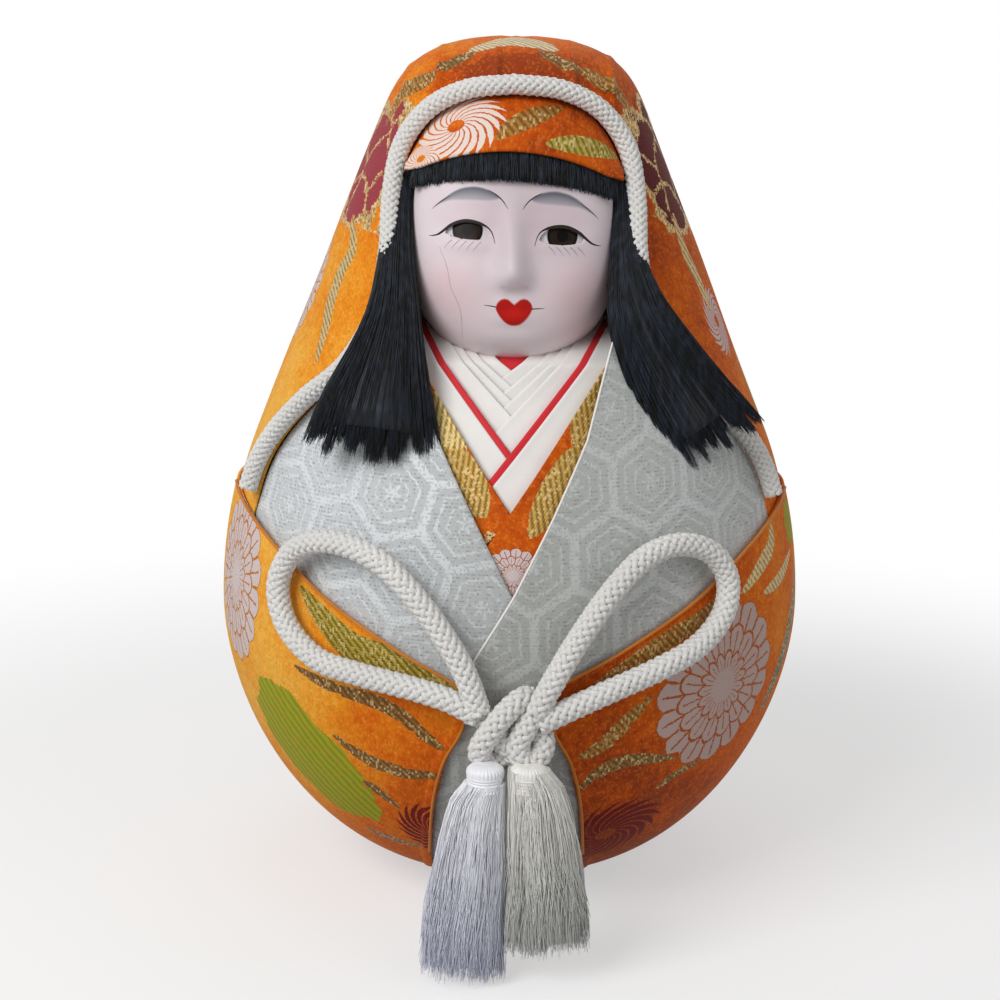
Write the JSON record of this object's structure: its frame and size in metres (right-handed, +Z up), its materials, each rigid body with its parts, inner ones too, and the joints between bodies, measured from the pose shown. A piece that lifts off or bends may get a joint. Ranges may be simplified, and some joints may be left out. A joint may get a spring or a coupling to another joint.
{
  "type": "hime daruma doll",
  "caption": "Round-bodied hime daruma doll in orange gold brocade and a silver robe, with long black hair and a cord bow with tassels",
  "frame": {"origin": "middle of the felt that the doll stands on", "axes": "+Z is up along the body, -Y is the way the face looks, +X is to the right of someone facing the doll"},
  "size_m": [0.167, 0.1816, 0.2389],
  "materials": {
    "felt": "pressed wool felt, matte",
    "card": "grey-brown board, matte",
    "clay": "dried clay, matte",
    "papier_mache": "pasted paper, matte",
    "shell_white": "shell-white ground, satin, tinted pink on the cheeks",
    "dark_glass": "polished dark brown glass",
    "red_silk": "plain weave silk, soft sheen",
    "white_silk": "pressed white silk, soft sheen",
    "orange_brocade": "orange brocade with gold thread",
    "silver_brocade": "silver-white brocade with metallic thread",
    "braided_cord": "eight-strand ivory braid, soft sheen",
    "tassel_thread": "loose white silk threads, soft sheen",
    "black_hair": "straight black fibre, soft sheen"
  },
  "bodies": {
    "doll": {"base_felt": "felt", "base_board": "card", "clay_weight": "clay", "core_front": "papier_mache", "core_back": "papier_mache", "face_mask": "shell_white", "eye_left": "dark_glass", "eye_right": "dark_glass", "under_collar": "red_silk", "pleat_collar_1_left": "white_silk", "pleat_collar_1_right": "white_silk", "pleat_collar_2_left": "white_silk", "pleat_collar_2_right": "white_silk", "pleat_collar_3_left": "white_silk", "pleat_collar_3_right": "white_silk", "pleat_collar_4_left": "white_silk", "pleat_collar_4_right": "white_silk", "red_collar_left": "red_silk", "red_collar_right": "red_silk", "white_collar_left": "white_silk", "white_collar_right": "white_silk", "brocade_collar_left": "orange_brocade", "brocade_collar_right": "orange_brocade", "robe_left": "silver_brocade", "robe_right": "silver_brocade", "hood": "orange_brocade", "mantle": "orange_brocade", "hood_cord": "braided_cord", "head_cloth": "orange_brocade", "hair_bangs": "black_hair", "hair_lock_left": "black_hair", "hair_lock_right": "black_hair", "bow_knot": "braided_cord", "bow_loop_left": "braided_cord", "bow_loop_right": "braided_cord"},
    "tassel_left": {"tassel_head_left": "braided_cord", "tassel_fringe_left": "tassel_thread"},
    "tassel_right": {"tassel_head_right": "braided_cord", "tassel_fringe_right": "tassel_thread"}
  },
  "joints": [
    {"name": "tassel_left_swing", "type": "hinge", "parent": "doll", "child": "tassel_left", "pos_m": [-0.0055, -0.0927, 0.05812], "axis": [-1, 0, 0], "range_deg": [0, 65]},
    {"name": "tassel_right_swing", "type": "hinge", "parent": "doll", "child": "tassel_right", "pos_m": [0.0055, -0.0927, 0.05812], "axis": [-1, 0, 0], "range_deg": [0, 65]}
  ]
}
